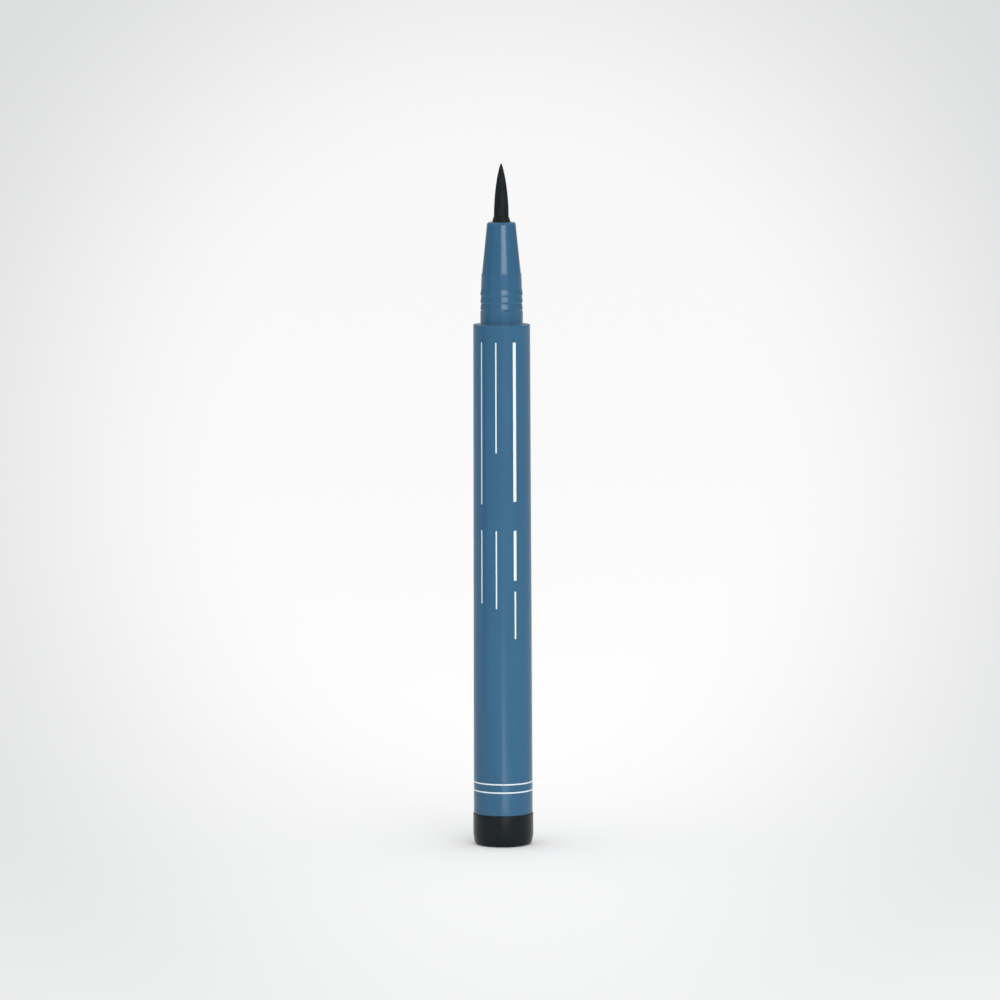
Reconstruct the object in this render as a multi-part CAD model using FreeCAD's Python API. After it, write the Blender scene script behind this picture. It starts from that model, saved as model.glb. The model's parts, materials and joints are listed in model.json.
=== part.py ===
"""Uncapped liquid eyeliner pen, standing on its tail with the tip up.

A free-ink pen: the barrel is the ink tank. A wick carries the ink from the tank through a finned
collector, which takes up what a warm tank pushes out, into a felt tip. Two loose balls stir the ink.

Frame: the origin is the centre of the tail's flat end, and +Z runs along the pen to the tip.
All sizes are in millimetres.
"""

import FreeCAD
import Part

import math
import os

# Barrel: a tube with moulding draft, widest at the tail. It sets the size of what joins it.
BARREL_LENGTH = 88.35
BARREL_FRONT_DIAMETER = 10.2
BARREL_TAPER = 0.47
BARREL_WALL = 1.3
BARREL_SEAM_BEVEL = 0.12
BARREL_SHOULDER_BEVEL = 0.12
BARREL_SHOULDER_RIM = 0.6
BARREL_LEAD_IN = 0.3
TANK_LENGTH = 38.0
STOP_RING_HEIGHT = 0.45
STOP_RING_LENGTH = 1.2

# Tail plug: the dark head that shows, drawn in at its foot, and the spigot that closes the tank.
TAIL_PROUD = 0.1
TAIL_HEAD_LENGTH = 5.7
TAIL_FOOT_HEIGHT = 1.8
TAIL_FOOT_INSET = 0.3
TAIL_FOOT_RADIUS = 3.0
TAIL_EDGE_RADIUS = 0.7
TAIL_SEAM_BEVEL = 0.16
TAIL_FLOOR = 1.6
TAIL_SPIGOT_LENGTH = 8.5
TAIL_CUP_WALL = 0.88
GATE_DIMPLE_DIAMETER = 1.8
GATE_DIMPLE_DEPTH = 0.25

# Nose: a base with the cap's snap beads, a short drafted neck, a small step, then the cone.
NOSE_SHOULDER_WIDTH = 1.28
NOSE_BASE_LENGTH = 6.3
NOSE_NECK_LENGTH = 2.8
NOSE_NECK_DRAFT = 0.1
NOSE_CONE_STEP = 0.09
NOSE_CONE_LENGTH = 9.2
NOSE_MOUTH_WALL = 0.69
NOSE_RIM_RADIUS = 0.45
NOSE_FOOT_BEVEL = 0.15
NOSE_WALL = 1.0
NOSE_FLANGE_THICKNESS = 1.0
NOSE_SPIGOT_LENGTH = 9.0
NOSE_PASSAGE_LENGTH = 3.5
CAP_BEAD_COUNT = 3
CAP_BEAD_PITCH = 1.28
CAP_BEAD_HEIGHT = 0.14
CAP_BEAD_HOLD_LENGTH = 0.3
CAP_BEAD_CREST_RADIUS = 0.4

# Felt tip, and the fluted holder that grips it in the nose.
TIP_DIAMETER = 2.65
TIP_REACH = 10.5
TIP_TAIL_LENGTH = 1.5
# Profile from the holder's lip to the apex, as shares of the free length and of the tip's radius.
# Two arcs run through these points and share the middle one. The end is blunt.
TIP_PROFILE_SHARES = ((0.0, 1.0), (0.35, 0.89), (0.69, 0.6), (0.86, 0.36), (1.0, 0.06))
HOLDER_WALL = 0.5
HOLDER_LENGTH = 6.5
HOLDER_LIP_HEIGHT = 0.9
HOLDER_LIP_STEP = 0.15
HOLDER_LIP_EDGE = 0.06
FLUTE_COUNT = 4
FLUTE_WIDTH = 0.5
FLUTE_DEPTH = 0.2

# Wick: a rod of bonded fibre with a pin that enters the tip.
WICK_DIAMETER = 2.0
WICK_PIN_DIAMETER = 1.2
WICK_PIN_LENGTH = 3.6
WICK_RECESS = 0.6
WICK_CHAMFER = 0.25

# Collector: a finned core between the tank and the nose.
COLLECTOR_CORE_WALL = 0.6
COLLECTOR_FLANGE = 1.6
COLLECTOR_STOP = 1.2
COLLECTOR_NIPPLE_LENGTH = 5.0
COLLECTOR_NOSE_GAP = 1.0
FIN_PITCH = 2.2
FIN_THICKNESS = 0.6
INK_SLIT_WIDTH = 0.3
AIR_SLOT_WIDTH = 1.2
NIPPLE_NOTCH_WIDTH = 0.7
NIPPLE_NOTCH_DEPTH = 0.9

# Mixing balls: as large as two fit side by side in the plug's cup.
BALL_COUNT = 2
BALL_PLAY = 0.2
BALL_REST_GAP = 0.05

# Fits: line-to-line fits keep FIT_GAP, and sealing ribs close the wider gap along a spigot.
FIT_GAP = 0.02
SPIGOT_GAP = 0.12
WICK_GAP = 0.05
WICK_PIN_GAP = 0.4
TIP_PASSAGE_GAP = 0.175
FIN_CLEARANCE = 0.2
RIB_COUNT = 2
RIB_PITCH = 2.2
SPIGOT_LEAD_IN = 0.4
SNAP_HEIGHT = 0.12
SNAP_GROOVE_WIDTH = 0.8
SNAP_PLACE_SHARE = 0.25
RIB_PLACE_SHARE = 0.65
OVERRUN = 1.0
INK_SIDE = 90.0
AIR_SIDE = -90.0
FULL_TURN = 360.0

# Heights along the pen, from the tail up.
tail_top = TAIL_HEAD_LENGTH
shoulder = tail_top + BARREL_LENGTH
nose_step = shoulder + NOSE_BASE_LENGTH
nose_kink = nose_step + NOSE_NECK_LENGTH
mouth = nose_kink + NOSE_CONE_LENGTH
lip_top = mouth + HOLDER_LIP_HEIGHT
apex = mouth + TIP_REACH
plug_top = tail_top + TAIL_SPIGOT_LENGTH
snap_height = tail_top + TAIL_SPIGOT_LENGTH * SNAP_PLACE_SHARE
ring_rear = plug_top + TANK_LENGTH
ring_front = ring_rear + STOP_RING_LENGTH
nipple_end = ring_front - COLLECTOR_NIPPLE_LENGTH
flange_rear = shoulder - NOSE_FLANGE_THICKNESS
spigot_rear = flange_rear - NOSE_SPIGOT_LENGTH
holder_seat = mouth - HOLDER_LENGTH
chamber_top = holder_seat - NOSE_PASSAGE_LENGTH
tip_rear = holder_seat - TIP_TAIL_LENGTH

# Radii, from the barrel inwards and from the tip and the wick outwards.
front_radius = BARREL_FRONT_DIAMETER / 2
rear_radius = front_radius + BARREL_TAPER / 2
tail_radius = rear_radius + TAIL_PROUD
bore_radius = front_radius - BARREL_WALL
recess_radius = front_radius - BARREL_SHOULDER_RIM
spigot_radius = bore_radius - SPIGOT_GAP
base_radius = front_radius - NOSE_SHOULDER_WIDTH
valley_radius = base_radius - CAP_BEAD_HEIGHT
neck_radius = valley_radius - NOSE_NECK_DRAFT
cone_radius = neck_radius - NOSE_CONE_STEP
chamber_radius = neck_radius - NOSE_WALL
tip_radius = TIP_DIAMETER / 2
holder_bore_radius = tip_radius + FIT_GAP
holder_radius = holder_bore_radius + HOLDER_WALL
mouth_bore_radius = holder_radius + FIT_GAP
mouth_radius = mouth_bore_radius + NOSE_MOUTH_WALL
passage_radius = tip_radius + TIP_PASSAGE_GAP
wick_radius = WICK_DIAMETER / 2
pin_radius = WICK_PIN_DIAMETER / 2
wick_bore_radius = wick_radius + WICK_GAP
core_radius = wick_bore_radius + COLLECTOR_CORE_WALL
funnel_foot = chamber_top - (chamber_radius - passage_radius)
collector_front = funnel_foot - COLLECTOR_NOSE_GAP
cup_radius = spigot_radius - TAIL_CUP_WALL
ball_radius = (cup_radius - BALL_PLAY - BALL_PLAY / 2) / 2
ball_offset = ball_radius + BALL_PLAY / 2


def at(radius, height):
    """Point of a profile, in the half plane that is turned about Z."""
    return FreeCAD.Vector(radius, 0, height)


def run(*corners):
    """Edges through corners (radius, height) or (radius, height, rounding), in order.

    A corner that gives a rounding is replaced by a tangent arc of that radius.
    """
    edges = []
    start = at(*corners[0])
    for index, (radius, height, *rounding) in enumerate(corners[1:], 1):
        point = at(radius, height)
        if rounding:
            back = (start - point).normalize()
            ahead = (at(*corners[index + 1][:2]) - point).normalize()
            half_angle = back.getAngle(ahead) / 2
            reach = rounding[0] / math.tan(half_angle)
            depth = rounding[0] / math.sin(half_angle) - rounding[0]
            middle = point + (back + ahead).normalize() * depth
            arc = Part.Arc(point + back * reach, middle, point + ahead * reach)
            edges.append(Part.LineSegment(start, arc.StartPoint).toShape())
            edges.append(arc.toShape())
            start = arc.EndPoint
        else:
            edges.append(Part.LineSegment(start, point).toShape())
            start = point
    return edges


def turned(*edges):
    """Solid of revolution about Z. A straight edge from the profile's end to its start closes it."""
    start = edges[0].firstVertex(True).Point
    end = edges[-1].lastVertex(True).Point
    closing = Part.LineSegment(end, start).toShape()
    face = Part.Face(Part.Wire([*edges, closing]))
    return face.revolve(FreeCAD.Vector(), FreeCAD.Vector(0, 0, 1), FULL_TURN)


def spigot_rib(height, rise):
    """Corners of a rib with sloping sides that stands out of a spigot by its rise."""
    return [
        (spigot_radius, height - rise),
        (spigot_radius + rise, height),
        (spigot_radius, height + rise),
    ]


def sealing_ribs(middle):
    """Corners of the ribs that close a spigot's gap to the bore, spread evenly about a height."""
    first = middle - RIB_PITCH * (RIB_COUNT - 1) / 2
    corners = []
    for index in range(RIB_COUNT):
        corners += spigot_rib(first + index * RIB_PITCH, SPIGOT_GAP - FIT_GAP)
    return corners


def cap_beads(bottom):
    """Corners of the cap's snap beads, from the bottom up.

    Each bead has a steep flank that holds the cap, a rounded crest, and a long flank that leads it on.
    """
    corners = []
    for index in range(CAP_BEAD_COUNT):
        low = bottom + index * CAP_BEAD_PITCH
        corners += [
            (valley_radius, low),
            (base_radius, low + CAP_BEAD_HOLD_LENGTH, CAP_BEAD_CREST_RADIUS),
        ]
    return corners


def slot(width, inner, outer, low, high, angle):
    """Cutter of this width that reaches from the inner to the outer radius, turned about Z."""
    box = Part.makeBox(outer - inner, width, high - low, FreeCAD.Vector(inner, -width / 2, low))
    box.rotate(FreeCAD.Vector(), FreeCAD.Vector(0, 0, 1), angle)
    return box


def make_barrel():
    """Drafted tube with the nose's recess in front, the collector's stop ring and a snap groove."""
    groove_radius = bore_radius + SNAP_HEIGHT + FIT_GAP
    groove_low = snap_height - SNAP_GROOVE_WIDTH / 2
    groove_high = snap_height + SNAP_GROOVE_WIDTH / 2
    ring_radius = bore_radius - STOP_RING_HEIGHT
    return turned(*run(
        (bore_radius + BARREL_LEAD_IN, tail_top),
        (rear_radius - BARREL_SEAM_BEVEL, tail_top),
        (rear_radius, tail_top + BARREL_SEAM_BEVEL),
        (front_radius, shoulder - BARREL_SHOULDER_BEVEL),
        (front_radius - BARREL_SHOULDER_BEVEL, shoulder),
        (recess_radius, shoulder),
        (recess_radius, flange_rear),
        (bore_radius, flange_rear),
        (bore_radius, ring_front),
        (ring_radius, ring_front),
        (ring_radius, ring_rear),
        (bore_radius, ring_rear),
        (bore_radius, groove_high),
        (groove_radius, groove_high),
        (groove_radius, groove_low),
        (bore_radius, groove_low),
        (bore_radius, tail_top + BARREL_LEAD_IN),
    ))


def make_tail_plug():
    """Dark end plug: a head, a ribbed spigot that snaps in, and a cup where the balls rest."""
    dimple_radius = GATE_DIMPLE_DIAMETER / 2
    return turned(*run(
        (0, GATE_DIMPLE_DEPTH),
        (dimple_radius, GATE_DIMPLE_DEPTH),
        (dimple_radius, 0),
        (tail_radius - TAIL_FOOT_INSET, 0, TAIL_EDGE_RADIUS),
        (tail_radius, TAIL_FOOT_HEIGHT, TAIL_FOOT_RADIUS),
        (tail_radius, tail_top - TAIL_SEAM_BEVEL),
        (tail_radius - TAIL_SEAM_BEVEL, tail_top),
        (spigot_radius, tail_top),
        *spigot_rib(snap_height, SPIGOT_GAP + SNAP_HEIGHT),
        *sealing_ribs(tail_top + TAIL_SPIGOT_LENGTH * RIB_PLACE_SHARE),
        (spigot_radius, plug_top - SPIGOT_LEAD_IN),
        (spigot_radius - SPIGOT_LEAD_IN, plug_top),
        (cup_radius, plug_top),
        (cup_radius, TAIL_FLOOR),
        (0, TAIL_FLOOR),
    ))


def make_nose():
    """Front moulding: cone, neck, beaded base for the cap, flange, and a ribbed spigot."""
    flange_radius = recess_radius - FIT_GAP
    beads_low = nose_step - CAP_BEAD_COUNT * CAP_BEAD_PITCH
    return turned(*run(
        (chamber_radius, spigot_rear),
        (spigot_radius - SPIGOT_LEAD_IN, spigot_rear),
        (spigot_radius, spigot_rear + SPIGOT_LEAD_IN),
        *sealing_ribs(spigot_rear + NOSE_SPIGOT_LENGTH / 2),
        (spigot_radius, flange_rear),
        (flange_radius, flange_rear),
        (flange_radius, shoulder),
        (base_radius + NOSE_FOOT_BEVEL, shoulder),
        (base_radius, shoulder + NOSE_FOOT_BEVEL),
        (base_radius, beads_low - CAP_BEAD_HEIGHT),
        *cap_beads(beads_low),
        (valley_radius, nose_step),
        (neck_radius, nose_kink),
        (cone_radius, nose_kink),
        (mouth_radius, mouth, NOSE_RIM_RADIUS),
        (mouth_bore_radius, mouth),
        (mouth_bore_radius, holder_seat),
        (passage_radius, holder_seat),
        (passage_radius, chamber_top),
        (chamber_radius, funnel_foot),
    ))


def make_tip_holder():
    """Sleeve that grips the tip, with air flutes along its outside and a tapered lip at the mouth."""
    sleeve = turned(*run(
        (holder_bore_radius, holder_seat),
        (holder_radius, holder_seat),
        (holder_radius, mouth),
        (holder_radius - HOLDER_LIP_STEP, mouth),
        (holder_bore_radius + HOLDER_LIP_EDGE, lip_top),
        (holder_bore_radius, lip_top),
    ))
    flute_floor = holder_radius - FLUTE_DEPTH
    outside = holder_radius + OVERRUN
    flutes = []
    for index in range(FLUTE_COUNT):
        angle = FULL_TURN * index / FLUTE_COUNT
        flutes.append(slot(FLUTE_WIDTH, flute_floor, outside, holder_seat - OVERRUN, mouth, angle))
    return sleeve.cut(flutes)


def make_felt_tip():
    """Pointed felt: a straight shank in the holder, an ogive above it, and a socket for the wick."""
    socket_radius = pin_radius + WICK_GAP
    socket_end = tip_rear + WICK_PIN_LENGTH + WICK_PIN_GAP
    free_length = apex - lip_top
    points = [
        at(tip_radius * radius_share, lip_top + free_length * length_share)
        for length_share, radius_share in TIP_PROFILE_SHARES
    ]
    body_arc = Part.Arc(*points[:3])
    point_arc = Part.Arc(*points[2:])
    shank = run(
        (0, socket_end),
        (socket_radius, socket_end),
        (socket_radius, tip_rear),
        (tip_radius, tip_rear),
        (tip_radius, lip_top),
    )
    blunt_end = Part.LineSegment(points[-1], at(0, apex))
    return turned(*shank, body_arc.toShape(), point_arc.toShape(), blunt_end.toShape())


def make_feed_wick():
    """Fibre rod from the tank's end of the collector to the tip, with a pin at its front."""
    rear = nipple_end + WICK_RECESS
    step = tip_rear - WICK_GAP
    front = tip_rear + WICK_PIN_LENGTH
    return turned(*run(
        (0, rear),
        (wick_radius - WICK_CHAMFER, rear),
        (wick_radius, rear + WICK_CHAMFER),
        (wick_radius, step),
        (pin_radius, step),
        (pin_radius, front - WICK_CHAMFER),
        (pin_radius - WICK_CHAMFER, front),
        (0, front),
    ))


def fin_row(crest, low, high):
    """Corners of a row of fins on the collector's core, spread evenly from low to high."""
    count = int((high - low - FIN_THICKNESS) / FIN_PITCH)
    first = (low + high - FIN_THICKNESS - (count - 1) * FIN_PITCH) / 2
    corners = []
    for index in range(count):
        bottom = first + index * FIN_PITCH
        top = bottom + FIN_THICKNESS
        corners += [(core_radius, bottom), (crest, bottom), (crest, top), (core_radius, top)]
    return corners


def make_collector():
    """Core with fins, a flange on the stop ring, a stop against the nose, and a notched nipple."""
    flange_radius = bore_radius - FIT_GAP
    flange_front = ring_front + COLLECTOR_FLANGE
    stop_front = spigot_rear - FIT_GAP
    stop_rear = stop_front - COLLECTOR_STOP
    body = turned(*run(
        (wick_bore_radius, nipple_end),
        (core_radius, nipple_end),
        (core_radius, ring_front),
        (flange_radius, ring_front),
        (flange_radius, flange_front),
        (core_radius, flange_front),
        *fin_row(bore_radius - FIN_CLEARANCE, flange_front, stop_rear),
        (core_radius, stop_rear),
        (flange_radius, stop_rear),
        (flange_radius, stop_front),
        (core_radius, stop_front),
        *fin_row(chamber_radius - FIN_CLEARANCE, stop_front, collector_front),
        (core_radius, collector_front),
        (wick_bore_radius, collector_front),
    ))
    outside = bore_radius + OVERRUN
    above = collector_front + OVERRUN
    below = nipple_end - OVERRUN
    ink_slit = slot(INK_SLIT_WIDTH, 0, outside, ring_front - OVERRUN, above, INK_SIDE)
    air_slot = slot(AIR_SLOT_WIDTH, core_radius, outside, flange_front, above, AIR_SIDE)
    notch_top = nipple_end + NIPPLE_NOTCH_DEPTH
    notches = [
        slot(NIPPLE_NOTCH_WIDTH, -outside, outside, below, notch_top, angle)
        for angle in (0, INK_SIDE)
    ]
    return body.cut([ink_slit, air_slot, *notches])


def make_mixing_ball(index):
    """Steel ball, lying in the plug's cup beside the other."""
    angle = 2 * math.pi * index / BALL_COUNT
    centre = FreeCAD.Vector(
        ball_offset * math.cos(angle),
        ball_offset * math.sin(angle),
        TAIL_FLOOR + BALL_REST_GAP + ball_radius,
    )
    return Part.makeSphere(ball_radius, centre)


def make_parts():
    """Every piece of the pen, by its name."""
    parts = {
        "barrel": make_barrel(),
        "tail_plug": make_tail_plug(),
        "nose": make_nose(),
        "tip_holder": make_tip_holder(),
        "felt_tip": make_felt_tip(),
        "feed_wick": make_feed_wick(),
        "collector": make_collector(),
    }
    for index in range(BALL_COUNT):
        parts[f"mixing_ball_{index + 1}"] = make_mixing_ball(index)
    return parts


def main():
    """Write each piece to its own file and print its size."""
    os.makedirs("parts", exist_ok=True)
    for name, shape in make_parts().items():
        shape.exportStep(os.path.join("parts", name + ".step"))
        box = shape.BoundBox
        print(f"{name}: {len(shape.Solids)} solid, {shape.Volume:.2f} mm3, z {box.ZMin:.2f} to {box.ZMax:.2f}")
    ball_travel = nipple_end - ball_radius - TAIL_FLOOR - BALL_REST_GAP - ball_radius
    print(f"ball diameter {2 * ball_radius:.3f}, free height above a ball at rest {ball_travel:.2f}")


main()
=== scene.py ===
"""Looks of an uncapped liquid eyeliner pen that stands on its tail.

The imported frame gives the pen's pieces and where they meet. The pieces that show are turned again here,
with the edges of their mouldings, and every piece gets its finish.
"""

import json
import math
from types import SimpleNamespace

import bpy
import numpy as np
from bpy.props import FloatProperty, FloatVectorProperty, IntProperty, PointerProperty
from mathutils import Matrix, Vector


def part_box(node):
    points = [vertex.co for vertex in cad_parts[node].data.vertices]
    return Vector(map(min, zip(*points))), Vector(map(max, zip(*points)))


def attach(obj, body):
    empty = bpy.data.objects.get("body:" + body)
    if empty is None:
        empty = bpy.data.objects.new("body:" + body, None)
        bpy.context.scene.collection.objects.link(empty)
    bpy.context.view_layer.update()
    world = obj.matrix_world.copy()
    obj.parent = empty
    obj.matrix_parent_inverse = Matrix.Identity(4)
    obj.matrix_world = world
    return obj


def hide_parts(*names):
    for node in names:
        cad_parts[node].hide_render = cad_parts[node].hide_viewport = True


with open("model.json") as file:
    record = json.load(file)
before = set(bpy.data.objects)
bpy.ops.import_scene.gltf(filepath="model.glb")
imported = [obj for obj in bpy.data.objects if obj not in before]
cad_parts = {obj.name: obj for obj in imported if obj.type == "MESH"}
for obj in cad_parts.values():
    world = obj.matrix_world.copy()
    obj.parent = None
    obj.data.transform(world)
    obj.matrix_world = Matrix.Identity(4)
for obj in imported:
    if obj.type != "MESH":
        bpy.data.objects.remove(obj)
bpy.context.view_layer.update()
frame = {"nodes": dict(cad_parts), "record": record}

bl_info = {
    "name": "Liquid Eyeliner Pen",
    "version": (1, 0, 0),
    "blender": (4, 5, 0),
    "location": "View3D > Sidebar > Eyeliner Pen",
    "description": "Builds the surfaces, finishes and studio of a liquid eyeliner pen around its frame",
    "category": "Object",
}

MM = 0.001
FULL_TURN = 2 * math.pi
BODY = "pen"

# Fineness of the turned surfaces, and what counts as one place or as nothing.
SEGMENTS = 192
TIP_SEGMENTS = 288
ARC_STEPS = 5
POINT_STEPS = 64
FLOOR_RINGS = 23
SUPPORT = 0.1 * MM
LONGEST_STRETCH = 3 * MM
SAME_PLACE = 1e-8
TINY = 1e-9

# Sizes that several mouldings share, the last one being that of an edge that wears bright.
FINE_EDGE = 0.04 * MM
RIB_PITCH = 2.2 * MM
SPIGOT_LEAD_IN = 0.4 * MM
WORN_RADIUS = 0.1 * MM

# Share of its length that a stretch gets in the map if it doesn't rise, so that outsides get the most room.
HIDDEN_SHARE = 0.25

# Half the width of the camera's sensor in millimetres.
HALF_SENSOR = 18.0

# Grain of each pattern along X, Y and Z.
STREAKS = (1.1 * MM, 1.1 * MM, 30 * MM)
CLOUDS = (7 * MM, 7 * MM, 16 * MM)
SKIN = (0.16 * MM,) * 3
SCUFFS = (0.07 * MM, 0.07 * MM, 3 * MM)
EDGE_CHIPS = (0.5 * MM,) * 3
PRINT_RAGS = (0.12 * MM,) * 3
FELT_FIBRES = (0.06 * MM, 0.06 * MM, 1.6 * MM)
FELT_WET = (0.9 * MM, 0.9 * MM, 2.2 * MM)
WICK_FIBRES = (0.05 * MM, 0.05 * MM, 6 * MM)
WICK_STAIN = (1.5 * MM, 1.5 * MM, 9 * MM)
MILKY_CLOUDS = (2.5 * MM, 2.5 * MM, 8 * MM)
DULL_SKIN = (0.1 * MM,) * 3
GRINDING = (0.05 * MM, 0.3 * MM, 0.05 * MM)
STEEL_STAIN = (0.8 * MM,) * 3

# Relief of each pattern: its depth and its strength.
STREAK_RELIEF = (0.01 * MM, 0.15)
SKIN_RELIEF = (0.003 * MM, 0.5)
PRINT_RELIEF = (0.012 * MM, 0.6)
FELT_RELIEF = (0.03 * MM, 0.7)
WICK_RELIEF = (0.02 * MM, 0.6)
DULL_RELIEF = (0.004 * MM, 0.5)
GRINDING_RELIEF = (0.002 * MM, 0.4)

# Parts of the noise's span that patterns use.
NOISE_WIDE = (0.1, 0.9)
NOISE_MIDDLE = (0.3, 0.7)
NOISE_CORE = (0.35, 0.65)
NOISE_UPPER = (0.5, 0.75)
CHIPPED_NOISE = (0.35, 0.7)
SCUFFED_NOISE = (0.72, 0.82)
POROUS_NOISE = (0.3, 0.42)

# Moulded plastic and its print: how far the roughness spreads and what scuffs and ink add to it, how bright
# wear is and how well it covers, how well thin ink covers, and how ragged its edges are.
ROUGHNESS_SPREAD = 0.06
SCUFF_ROUGHNESS = 0.12
INK_ROUGHNESS = 0.16
WORN_TONE = 1.9
WORN_COVER = 0.35
THIN_INK = 0.82
RAGGED = 0.03 * MM

# Roughness of the other finishes, as a span where a pattern changes it, and the felt's shine.
FELT_ROUGHNESS = (0.42, 0.68)
FELT_SHINE = 0.15
WICK_ROUGHNESS = 0.8
MILKY_ROUGHNESS = (0.4, 0.55)
STEEL_ROUGHNESS = (0.12, 0.24)
MATT = 0.9

# Sockets of the mix node for colours: the share and both colours, and the result.
MIX_INPUTS = (0, 6, 7)
MIX_RESULT = 2

# Waves of the felt's fibres: count round the tip, weight, and the wander with height, given by its reach, its
# pace for each millimetre and its start.
FIBRE_WAVES = (
    (41, 1.0, 2.0, 1.1, 0.0),
    (29, 0.7, 1.6, 0.7, 2.0),
    (17, 0.8, -1.2, 0.9, 1.0),
)

# Places that the frame gives: heights from the tail up, and outer radii.
_, plug_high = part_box("tail_plug")
barrel_low, barrel_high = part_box("barrel")
nose_low, nose_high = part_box("nose")
holder_low, holder_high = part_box("tip_holder")
tip_low, tip_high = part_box("felt_tip")
cap_seat = next(mount for mount in frame["record"]["mounts"] if mount["name"] == "cap_seat")
TAIL_TOP = barrel_low.z
PLUG_TOP = plug_high.z
SPIGOT_REAR = nose_low.z
SHOULDER = barrel_high.z
HOLDER_SEAT = holder_low.z
MOUTH = nose_high.z
LIP_TOP = holder_high.z
TIP_REAR = tip_low.z
APEX = tip_high.z
TAIL_RADIUS = plug_high.x
REAR_RADIUS = barrel_high.x
FLANGE_RADIUS = nose_high.x
BASE_RADIUS = cap_seat["dims"]["r_mm"] * MM
HOLDER_RADIUS = holder_high.x
TIP_RADIUS = tip_high.x

# Printed strokes on the barrel: angle from the front in degrees, both ends as shares of the barrel's length,
# and the width as a share of the widest stroke.
PRINT_STROKES_SHARES = (
    (26, 0.643, 0.966, 1.0),
    (-12, 0.742, 0.966, 0.4),
    (-45, 0.637, 0.966, 0.4),
    (26, 0.482, 0.584, 0.9),
    (26, 0.363, 0.460, 0.5),
    (-12, 0.425, 0.584, 0.4),
    (-45, 0.435, 0.584, 0.4),
)


def screen_colour(red, green, blue):
    """Linear colour of an 8-bit screen colour, by the sRGB curve."""
    shares = np.array((red, green, blue)) / 255
    return tuple(np.where(shares <= 0.04045, shares / 12.92, ((shares + 0.055) / 1.055) ** 2.4).tolist())


def length_property(name, description, default):
    """Property for a length in metres."""
    return FloatProperty(name=name, description=description, default=default, unit="LENGTH", precision=5)


def angle_property(name, description, degrees):
    """Property for an angle, with its default in degrees."""
    return FloatProperty(name=name, description=description, default=math.radians(degrees), subtype="ANGLE")


def colour_property(name, description, default):
    """Property for a linear colour."""
    return FloatVectorProperty(
        name=name, description=description, default=default, subtype="COLOR", min=0.0, max=1.0
    )


def place_property(name, description, default):
    """Property for a place in metres."""
    return FloatVectorProperty(
        name=name, description=description, default=default, subtype="XYZ", unit="LENGTH"
    )


def power_property(name, description, watts):
    """Property for a lamp's power in watts."""
    return FloatProperty(name=name, description=description, default=watts, subtype="POWER", unit="POWER")


def factor_property(name, description, default):
    """Property for a share from 0 to 1."""
    return FloatProperty(
        name=name, description=description, default=default, subtype="FACTOR", min=0.0, max=1.0
    )


def number_property(name, description, default):
    """Property for a plain number from 0 up."""
    return FloatProperty(name=name, description=description, default=default, min=0.0)


def size_property(name, description, default):
    """Property for a width and a height in metres."""
    return FloatVectorProperty(
        name=name, description=description, default=default, size=2, subtype="XYZ", unit="LENGTH"
    )


class BarrelSettings(bpy.types.PropertyGroup):
    """Sizes and colours of the barrel."""

    taper: length_property("Taper", "How much wider the barrel is at its tail than its shoulder", 0.47 * MM)
    wall: length_property("Wall", "Thickness of the tube's wall at the shoulder", 1.3 * MM)
    rim: length_property("Rim", "Width of the rim round the nose", 0.6 * MM)
    recess: length_property("Recess", "Depth of the recess that takes the nose's flange", 1.0 * MM)
    shoulder_edge: length_property("Shoulder edge", "Rounding of the shoulder's outer edge", 0.15 * MM)
    seam_edge: length_property("Seam edge", "Rounding of the edge at the tail plug", 0.13 * MM)
    lead_in: length_property("Lead-in", "Chamfer at the tank's open end", 0.3 * MM)
    tank: length_property("Tank", "Length of the tank from the plug's spigot to the stop ring", 38.0 * MM)
    ring_length: length_property("Stop ring length", "Length of the stop ring along the tube", 1.2 * MM)
    ring_rise: length_property("Stop ring rise", "How far the stop ring stands out of the bore", 0.45 * MM)
    snap_place: length_property("Snap", "Height of the snap groove and rib above the seam", 2.125 * MM)
    groove_width: length_property("Snap groove width", "Width of the snap groove", 0.8 * MM)
    groove_depth: length_property("Snap groove depth", "Depth of the snap groove", 0.14 * MM)
    spigot_gap: length_property("Spigot gap", "Gap round the spigots in the bore", 0.12 * MM)
    colour: colour_property("Plastic", "Colour of the blue mouldings", screen_colour(49, 94, 125))
    ink: colour_property("Print", "Colour of the printed strokes", screen_colour(222, 230, 233))
    roughness: factor_property("Roughness", "Roughness of the barrel's plastic", 0.22)
    shine: factor_property("Shine", "Strength of the blue plastic's reflections", 0.25)
    stroke: length_property("Stroke", "Width of the widest printed stroke", 0.6 * MM)
    ring_stroke: length_property("Ring stroke", "Width of the printed rings", 0.24 * MM)
    rings_place: length_property("Rings", "Height of the pair of printed rings above the seam", 5.0 * MM)
    rings_pitch: length_property("Rings pitch", "Distance between the printed rings", 1.5 * MM)


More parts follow.
